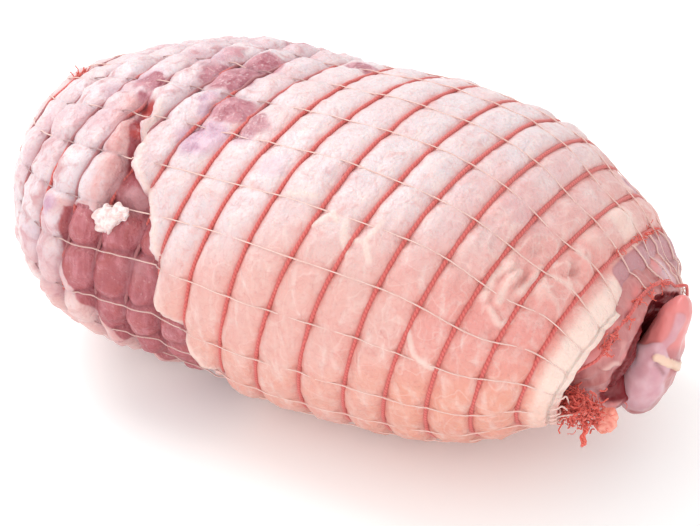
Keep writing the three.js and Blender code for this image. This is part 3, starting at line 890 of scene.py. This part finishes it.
def make_lobe():
    points, faces, normal, toward = ball(np.zeros(3), LOBE_HALF, 110, 110)
    points = tilted(points * widening(1 - LOBE_FOOT * toward[:, 2]), LOBE_TILT) + LOBE_CENTRE
    normal = tilted(normal, LOBE_TILT)
    right, up = end_view(points)
    stray = 0.8 * lumps(points, 5, 41)
    band = 0.6 * smoothstep(0.05, 0.9, near_line(right + stray, up, SILVERSKIN_BAND, 1.7))
    sheet = smoothstep(0.2, 0.6, near_line(right + stray, up, SILVERSKIN, 6.6))
    sheet = sheet * smoothstep(2.8, 1.4, up - 0.24 * right + stray) * smoothstep(5.5, 3.8, right + 0.35 * up)
    skin = np.maximum(band, sheet)
    fat_bit = smoothstep(0.3, 0.6, near_line(right, up + stray, FAT_BIT, 1.4))
    notch = near_line(right, up, NOTCH, 0.8)
    rise = relief(points, (0.8, 9, 42), (0.4, 4, 43), (0.12, 1.6, 44))
    rise = rise + 0.7 * skin + 0.9 * fat_bit - 0.9 * notch
    points = points + normal * rise[:, None]
    # Painted shade along the lobe's edge by the crevice, at its bottom and in the notch.
    in_shade = np.maximum(0.8 * near_line(right, up, LOBE_EDGE, 1.1), 0.35 * smoothstep(-12, -16, up))
    masks = {"deep_shade": np.maximum(0.5 * notch, in_shade), "skin": skin, "pale": fat_bit,
             "salmon": smoothstep(-2, 3, up) * (1 - skin)}
    make_piece("muscle_lobe", points, faces, LOBE_MUSCLE, "meat", masks)


SCRAP_SPOT = (-47.6, 162.5)  # x and degrees of the torn scrap of fat
SCRAP_HALF = np.array((6.0, 2.0, 5.8))
SCRAP_SINK = 2.0
SCRAP_LEAN = 0.3
SCRAP_GRAIN, FLAKE_GRAIN = 50, 80  # where in the lumps' field each of the two bits of fat takes its shape


def make_fat_scrap():
    place, angle = place_at(np.array([SCRAP_SPOT[0]])), np.radians([SCRAP_SPOT[1]])
    spot, lift = crest(place, angle)[0], outward(place, angle)[0]
    points, faces, normal, _ = ball(np.zeros(3), SCRAP_HALF, 60, 80)
    arm = smoothstep(-1, 4, points[:, 0])
    points[:, 2] = points[:, 2] * (1 - 0.5 * arm) + 0.45 * SCRAP_HALF[2] * arm
    rise = relief(points + SCRAP_GRAIN, (1.6, 4, 53), (1.4, 2.4, 51), (0.35, 1.3, 52))
    points = points + normal * rise[:, None]
    points[:, 0] += SCRAP_LEAN * points[:, 2]
    points += spot - SCRAP_SINK * lift
    make_piece("fat_scrap", points, faces, TORN_FAT, "meat")


# Net

HOOP_STEPS = 620
HOOP_SIDES = 10
HOOP_LAY = 2.4
HOOP_SEAT = 0.5  # a hoop's middle stands this far above the bottom of its groove
HOOP_EASE = 15  # steps over which a hoop evens out its depth
END_HOOP_RADIUS = 0.8 * HOOP_RADIUS
STRING_STEPS_PER_HOOP = 16
STRING_SIDES = 7
STRING_LAY = 1.8
STRING_SEAT = 0.05
STRING_DIP = 0.4  # a taut string dips at most this far into a hoop's groove
THREAD_RADIUS = 0.78 * STRING_RADIUS  # a little thinner than the thread's solid
END_STRINGS = range(6)  # these strings run on over the cut muscle to the end hoop
PATH_SPACING = 0.6
FRAY_SPACING = 0.5


def hoop_path(number):
    """A hoop's path, the direction off the meat along it, and where it is buried and dull."""
    angle = np.arange(HOOP_STEPS) / HOOP_STEPS * 2 * np.pi
    place = HOOP_PLACES[number] + hoop_sway(number, angle)
    zone = zones(place, angle)
    pressed = HOOP_SEAT - 0.35 * zone["puff"] - 0.2 * zone["lean"] * (1 - zone["gap"]) - 0.4 * zone["wet"]
    depth = grooves(zone)[0] - pressed + LEAN_DEPTH * zone["sunken"]
    depth = np.convolve(np.tile(depth, 3), np.ones(HOOP_EASE) / HOOP_EASE, "same")[HOOP_STEPS:2 * HOOP_STEPS]
    normal = outward(place, angle)
    base = crest(place, angle)
    path = base + normal * (gentle_lumps(base, zone["puff"]) - depth)[:, None]
    path[:, 2] = np.maximum(path[:, 2], HOOP_RADIUS)
    dull = zone["puff"] * smoothstep(-0.6, 0.0, lumps(base, 11, 71)) * (1 - zone["gap"]) * (1 - zone["lean"])
    dull = np.maximum(dull, 0.85 * zone["wet"])
    if number < 2:
        dull = 1 - near_patch(np.zeros_like(angle), zone["degrees"], GATHER_SHOWS)
    return path, normal, dull


def make_hoops():
    nodes = ["gather_hoop"] + ["hoop_%02d" % number for number in range(1, HOOP_COUNT + 1)]
    for number, node in enumerate(nodes):
        path, normal, dull = hoop_path(number)
        points, faces, masks = strand(path, normal, HOOP_RADIUS, HOOP_SIDES, HOOP_LAY, closed=True, twist=0.1)
        masks["dull"] = np.repeat(dull, HOOP_SIDES)
        make_piece("elastic_" + node, points, faces, RED_ELASTIC, node, masks)


def on_cut_muscle(points, rise):
    """Points moved onto the cut muscle's surface, and lifted off it."""
    toward = unit((points - CUT_MUSCLE_CENTRE) / CUT_MUSCLE_HALF)
    smooth = CUT_MUSCLE_CENTRE + toward * CUT_MUSCLE_HALF
    normal = unit(toward / CUT_MUSCLE_HALF)
    return smooth + normal * (muscle_lumps(smooth, CUT_MUSCLE_SEED) + rise)[:, None]


def above_cut_muscle(points):
    """Points with those that are inside the cut muscle moved out onto it."""
    lifted = on_cut_muscle(points, 0.4)
    reach, needed = (np.linalg.norm(spots - CUT_MUSCLE_CENTRE, axis=1) for spots in (points, lifted))
    return np.where((reach < needed)[:, None], lifted, points)


def make_end_hoop():
    path = smooth_path(END_HOOP_ROUTE, PATH_SPACING, closed=True)
    over = smoothstep(50, 53, path[:, 2])[:, None]
    path = path * (1 - over) + on_cut_muscle(path, 0.9) * over
    away = path - CUT_MUSCLE_CENTRE
    points, faces, masks = strand(path, away, END_HOOP_RADIUS, HOOP_SIDES, HOOP_LAY, closed=True)
    make_piece("elastic_end_hoop", points, faces, RED_ELASTIC, "end_hoop", masks)
    return path


def eased(path, reach):
    """A path with its kinks evened out over `reach` points to each side."""
    padded = np.vstack([np.repeat(path[:1], reach, axis=0), path, np.repeat(path[-1:], reach, axis=0)])
    even = np.ones(2 * reach + 1) / (2 * reach + 1)
    return np.stack([np.convolve(padded[:, axis], even, "valid") for axis in range(3)], axis=1)


def run_on(start, end_hoop):
    """The way from the edge of the rim over the cut muscle to the end hoop."""
    goal = end_hoop[np.argmin(np.linalg.norm(end_hoop - start - (6, 0, -4), axis=1))]
    over_rim = [rolled_in(start[None], share)[0] + (0.5, 0, 0.3) for share in (0.04, 0.1)]
    share = np.array((0.35, 0.55, 0.75, 0.95))[:, None]
    over_muscle = on_cut_muscle(start * (1 - share) + goal * share, 0.6)
    return above_cut_muscle(smooth_path(np.vstack([start, *over_rim, over_muscle, goal]), PATH_SPACING))


def to_rim():
    """Places from the last hoop to the edge of the rim."""
    return np.linspace(HOOP_PLACES[-1], LAST_SECTION, STRING_STEPS_PER_HOOP)


def string_path(number, end_hoop):
    """A string's path, the direction off the meat along it, and where it is stained and dull."""
    spans = np.arange(HOOP_COUNT * STRING_STEPS_PER_HOOP + 1) / STRING_STEPS_PER_HOOP
    places = np.concatenate([np.interp(spans, np.arange(HOOP_COUNT + 1), HOOP_PLACES), to_rim()[1:]])
    angle = string_angle(number, places)
    zone = zones(places, angle)
    hoop_groove, string_groove = grooves(zone)
    to_hoop = closeness(places, angle)[0]
    normal = outward(places, angle)
    base = crest(places, angle)
    soaked = zone["puff"] * (1 - zone["lean"]) * smoothstep(-0.6, -0.1, lumps(base, 13, 72))
    over_hoop = -hoop_groove + HOOP_SEAT + HOOP_RADIUS + 0.9 * STRING_RADIUS
    between = -string_groove + STRING_SEAT - 0.9 * soaked
    over_hoop = np.maximum(over_hoop, between - STRING_DIP)
    height = between + (over_hoop - between) * np.maximum(to_hoop, 0) ** 1.6
    path = base + normal * (height + gentle_lumps(base, zone["puff"]))[:, None]
    path[:, 2] = np.maximum(path[:, 2], STRING_RADIUS)
    dull = np.maximum(soaked, 0.35 * zone["wet"])
    if number in END_STRINGS:
        on_muscle = run_on(path[-1], end_hoop)[1:]
        path = np.vstack([path, on_muscle])
        last_stretch = slice(-len(on_muscle) - STRING_STEPS_PER_HOOP // 2, None)
        path[last_stretch] = above_cut_muscle(eased(path[last_stretch], 5))
        normal = np.vstack([normal, np.tile(normal[-1:], (len(on_muscle), 1))])
        dull = np.concatenate([dull, np.zeros(len(on_muscle))])
    return path, normal, dull


def make_strings(end_hoop):
    for number in range(STRING_COUNT):
        path, normal, dull = string_path(number, end_hoop)
        points, faces, masks = strand(path, normal, THREAD_RADIUS, STRING_SIDES, STRING_LAY)
        masks["dull"] = np.repeat(dull, STRING_SIDES)
        node = "string_%02d" % (number + 1)
        make_piece("thread_" + node, points, faces, WHITE_THREAD, node, masks)


# Frayed ends: how far they start from their spot, which way they drift, their length and their radius.
KNOT_SPAN = (101, 107)  # degrees on the first hoop
KNOT_ENDS = 36
KNOT_SCATTER, KNOT_LENGTH, KNOT_RADIUS = 0.5, (2, 4), 0.2
TAIL_KNOT = np.array((92.6, -28.8, 29.6))
TAIL_STRANDS = 520
TAIL_SPREAD = (6.2, 3.0, 3.4)
TAIL_SCATTER, TAIL_DRIFT, TAIL_LENGTH, TAIL_RADIUS = 0.6, (0, -0.4, -0.2), (2, 4.8), (0.1, 0.26)
TAIL_CORE_HALF = np.array((4.2, 2.2, 2.6))
FRAY_SCATTER, FRAY_DRIFT, FRAY_LENGTH, FRAY_RADIUS = 0.8, (0.6, -0.5, -0.4), (1.5, 4), (0.1, 0.2)
FRAY_SIDES = 5
FRAY_LAY = 1.6
# Share of the way round the end hoop, number of ends.
FRAY_SPOTS = [(0.06, 8), (0.12, 12), (0.17, 12), (0.22, 8), (0.26, 16), (0.29, 20)]
LAST_HOOP_FRAYS = [(58, 8), (64, 8), (70, 10), (76, 10), (82, 8), (92, 6)]  # degrees, number of ends
LOOSE_THREADS = (52, 67, 83)  # degrees on the last hoop
GATHERED_THREADS = (176, 184, 191, 197, 204, 212, 221)  # degrees on the rim where they go in to the tail
HANGING_END = [(95.5, -30, 26), (96.4, -31, 24), (95.8, -31.5, 22.4), (96.6, -32, 21), (96.2, -31.5, 19.6)]
HANGING_END_RADIUS = 0.5
FLAKE_SPOT = np.array((100.5, -26.5, 26.5))
FLAKE_HALF = np.array((2.9, 1.3, 5.0))
FLAKE_TILT = 0.35


def curl(random, spot, scatter, drift, lengths, spread=1):
    """The path of a frayed end that starts near a spot and wanders off."""
    points = [spot + random.normal(0, scatter, 3) * spread]
    heading = unit(random.normal(0, 1, 3) + drift)
    length = random.uniform(*lengths)
    steps = 8
    for _ in range(steps):
        heading = unit(heading + random.normal(0, 0.45, 3))
        points.append(points[-1] + heading * length / steps)
    return smooth_path(points, FRAY_SPACING)


def frayed(path, radius):
    away = np.tile((0.31, 0.52, 0.79), (len(path), 1))
    return strand(path, away, radius, FRAY_SIDES, FRAY_LAY)


def make_tail(end_hoop):
    """The frayed net below the cut end, the frays along the last hoops and the loose threads between them."""
    random = np.random.default_rng(SEED + 1)
    red, white = [], []
    for _ in range(TAIL_STRANDS):
        path = curl(random, TAIL_KNOT, TAIL_SCATTER, TAIL_DRIFT, TAIL_LENGTH, TAIL_SPREAD)
        red.append(frayed(path, random.uniform(*TAIL_RADIUS)))
    last_hoop = hoop_path(HOOP_COUNT)[0]
    spots = [(end_hoop[int(share * len(end_hoop))], ends) for share, ends in FRAY_SPOTS]
    spots += [(last_hoop[int(degrees / 360 * HOOP_STEPS)], ends) for degrees, ends in LAST_HOOP_FRAYS]
    for spot, ends in spots:
        for _ in range(ends):
            path = curl(random, spot, FRAY_SCATTER, FRAY_DRIFT, FRAY_LENGTH)
            red.append(frayed(path, random.uniform(*FRAY_RADIUS)))
    for degrees in LOOSE_THREADS:
        places = to_rim()
        angle = np.full(len(places), math.radians(degrees))
        on_rim = above_cut_muscle(roll_surface(places, angle)[0] + 0.3 * outward(places, angle))
        white.append(frayed(np.vstack([on_rim[:-1], run_on(on_rim[-1], end_hoop)]), STRING_RADIUS))
    for degrees in GATHERED_THREADS:
        rim = crest(np.array([LAST_SECTION]), np.radians([degrees]))
        over_rim = [rolled_in(rim, share)[0] + (0.8, 0, 0) for share in (0.02, 0.08, 0.16)]
        into_knot = TAIL_KNOT + random.normal(0, 0.4, 3) * TAIL_SPREAD
        white.append(frayed(smooth_path([*over_rim, into_knot], FRAY_SPACING), STRING_RADIUS))
    for shift in (0, 0.7):
        path = smooth_path(np.array(HANGING_END) + (shift, 0, shift), FRAY_SPACING)
        red.append(frayed(path, HANGING_END_RADIUS))
    for name, yarns, material, slot in (("tail_red", red, FRAYED_YARN, "elastic"),
                                        ("tail_white", white, WHITE_THREAD, "thread")):
        points, faces, masks = join(yarns)
        points[:, 2] = np.maximum(points[:, 2], 0.2)
        make_piece(name, points, faces, material, "net_tail", masks)
    points, faces, normal, _ = ball(TAIL_KNOT, TAIL_CORE_HALF, 60, 80)
    points = points + normal * relief(points, (1.2, 3, 63), (0.5, 1.2, 64))[:, None]
    # The matted core takes mostly the yarn's dark tone: painted shade inside the tuft.
    core_in_shade = {"ply": 0.3 + 0.3 * lumps(points, 1, 65)}
    make_piece("tail_core", points, faces, FRAYED_YARN, "net_tail", core_in_shade)


def make_knot():
    """Frayed ends of the first hoop, where it is tied at the closed end."""
    random = np.random.default_rng(SEED + 2)
    path = hoop_path(1)[0]
    ends = []
    for degrees in np.linspace(*KNOT_SPAN, KNOT_ENDS):
        spot = path[int(degrees / 360 * HOOP_STEPS)]
        ends.append(frayed(curl(random, spot, KNOT_SCATTER, (0, 0, 0), KNOT_LENGTH), KNOT_RADIUS))
    points, faces, masks = join(ends)
    make_piece("elastic_knot", points, faces, FRAYED_YARN, "hoop_01", masks)


def make_flake():
    """A flake of pink fat that hangs in the tail."""
    points, faces, normal, _ = ball(np.zeros(3), FLAKE_HALF, 60, 70)
    rise = relief(points + FLAKE_GRAIN, (1.1, 3.4, 61), (0.5, 1.6, 62))
    points = tilted(points + normal * rise[:, None], FLAKE_TILT) + FLAKE_SPOT
    make_piece("fat_flake", points, faces, PINK_FAT, "meat")


# Stage, in metres

TABLE_REACH = 4


def make_camera():
    data = bpy.data.cameras.new("camera")
    data.sensor_width = SENSOR_WIDTH
    data.lens = SENSOR_WIDTH * FOCAL_PIXELS / IMAGE_WIDTH
    data.clip_start = 0.01
    camera = bpy.data.objects.new("camera", data)
    placed = Matrix((CAMERA_RIGHT, CAMERA_UP, CAMERA_BACK)).transposed().to_4x4()
    placed.translation = (CAMERA_TARGET + CAMERA_BACK * CAMERA_DISTANCE) * MM
    camera.matrix_world = placed
    bpy.context.scene.collection.objects.link(camera)
    bpy.context.scene.camera = camera


def make_light(name, spot, aim, size, watts, hex_colour):
    data = bpy.data.lights.new(name, "AREA")
    data.shape = "DISK"
    data.size = size
    data.energy = watts
    data.color = linear(hex_colour)[:3]
    light = bpy.data.objects.new(name, data)
    light.location = spot
    light.rotation_euler = (Vector(aim) - Vector(spot)).to_track_quat("-Z", "Y").to_euler()
    bpy.context.scene.collection.objects.link(light)


def make_stage():
    """A white table that is lit a little from below too, so that shadows on it stay pale."""
    material, tree, shader, _, _ = new_material("white table")
    connect(tree, shader, {"Base Color": linear("#f3f6f6"), "Roughness": 0.6,
                           "Emission Color": linear("#ffffff"), "Emission Strength": 0.15})
    mesh = bpy.data.meshes.new("table")
    corners = [(x * TABLE_REACH, y * TABLE_REACH, 0) for x, y in ((-1, -1), (1, -1), (1, 1), (-1, 1))]
    mesh.from_pydata(corners, [], [(0, 1, 2, 3)])
    mesh.materials.append(material)
    table = bpy.data.objects.new("table", mesh)
    bpy.context.scene.collection.objects.link(table)
    world = bpy.data.worlds.new("studio")
    world.use_nodes = True
    background = world.node_tree.nodes["Background"]
    connect(world.node_tree, background, {"Color": linear("#ffffff"), "Strength": 1.0})
    bpy.context.scene.world = world
    make_light("high soft window", (-0.75, 0.1, 0.9), (0, 0, 0.03), 0.6, 6, "#ffffff")
    make_light("front fill", (0.35, -1.1, 0.55), (0, 0, 0.03), 1.2, 3.5, "#fff6f0")
    bpy.context.scene.view_settings.view_transform = "Standard"


make_camera()
make_stage()
make_roll()
make_muscle("cut_muscle", CUT_MUSCLE_CENTRE, CUT_MUSCLE_HALF, CUT_MUSCLE_SEED, CREVICE_HALF_WIDTH, True)
make_muscle("lower_muscle", LOWER_MUSCLE_CENTRE, LOWER_MUSCLE_HALF, LOWER_MUSCLE_SEED,
            LOWER_CREVICE_HALF_WIDTH, False)
make_lobe()
make_fat_scrap()
make_hoops()
end_hoop = make_end_hoop()
make_strings(end_hoop)
make_tail(end_hoop)
make_knot()
make_flake()
